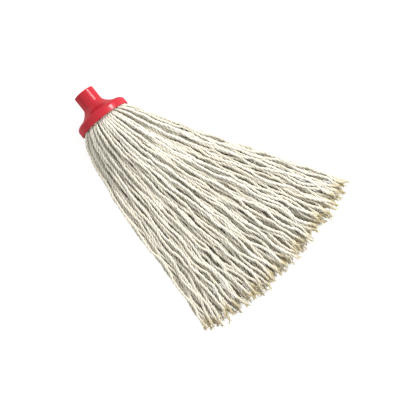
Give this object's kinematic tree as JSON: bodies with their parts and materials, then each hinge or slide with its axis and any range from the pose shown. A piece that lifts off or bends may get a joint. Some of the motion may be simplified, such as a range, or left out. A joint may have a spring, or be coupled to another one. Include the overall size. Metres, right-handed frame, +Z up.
{
  "type": "string mop head",
  "caption": "String mop head: a red moulded socket with a round flared rim, from which a thick fan of cream cotton yarn lies flat on the floor.",
  "frame": {"origin": "middle of the box of the mop as it lies, on the floor", "axes": "+X along the socket towards the yarn's tips, +Y to the side that the fan of yarn swings to, +Z up from the floor"},
  "size_m": [0.3776, 0.2908, 0.0838],
  "materials": {
    "socket_plastic": "satin moulded polypropylene",
    "plate_plastic": "plain moulded polypropylene",
    "binding_wire": "galvanised",
    "cotton_yarn": "loosely twisted unbleached cotton, cut ends fraying"
  },
  "bodies": {
    "yarn": {"yarn_lock_01": "cotton_yarn", "yarn_lock_02": "cotton_yarn", "yarn_lock_03": "cotton_yarn", "yarn_lock_04": "cotton_yarn", "yarn_lock_05": "cotton_yarn", "yarn_lock_06": "cotton_yarn", "yarn_lock_07": "cotton_yarn", "yarn_lock_08": "cotton_yarn", "yarn_lock_09": "cotton_yarn", "yarn_lock_10": "cotton_yarn", "yarn_lock_11": "cotton_yarn", "yarn_lock_12": "cotton_yarn", "yarn_lock_13": "cotton_yarn", "yarn_lock_14": "cotton_yarn", "yarn_lock_15": "cotton_yarn", "yarn_lock_16": "cotton_yarn", "yarn_lock_17": "cotton_yarn", "yarn_lock_18": "cotton_yarn", "yarn_lock_19": "cotton_yarn", "yarn_lock_20": "cotton_yarn", "yarn_lock_21": "cotton_yarn", "yarn_lock_22": "cotton_yarn", "yarn_lock_23": "cotton_yarn", "yarn_lock_24": "cotton_yarn", "yarn_lock_25": "cotton_yarn", "yarn_lock_26": "cotton_yarn", "yarn_lock_27": "cotton_yarn", "yarn_lock_28": "cotton_yarn", "yarn_lock_29": "cotton_yarn", "yarn_lock_30": "cotton_yarn", "yarn_lock_31": "cotton_yarn", "yarn_lock_32": "cotton_yarn", "yarn_lock_33": "cotton_yarn", "yarn_lock_34": "cotton_yarn"},
    "socket": {"socket_body": "socket_plastic", "yarn_clamp_plate": "plate_plastic", "binding_wire": "binding_wire", "yarn_fold": "cotton_yarn", "yarn_neck": "cotton_yarn"}
  },
  "joints": [
    {"name": "socket_tilt", "type": "hinge", "parent": "yarn", "child": "socket", "pos_m": [-0.13895, -0.0708, 0.0398], "axis": [0, 1, 0], "range_deg": [0, 60]}
  ]
}
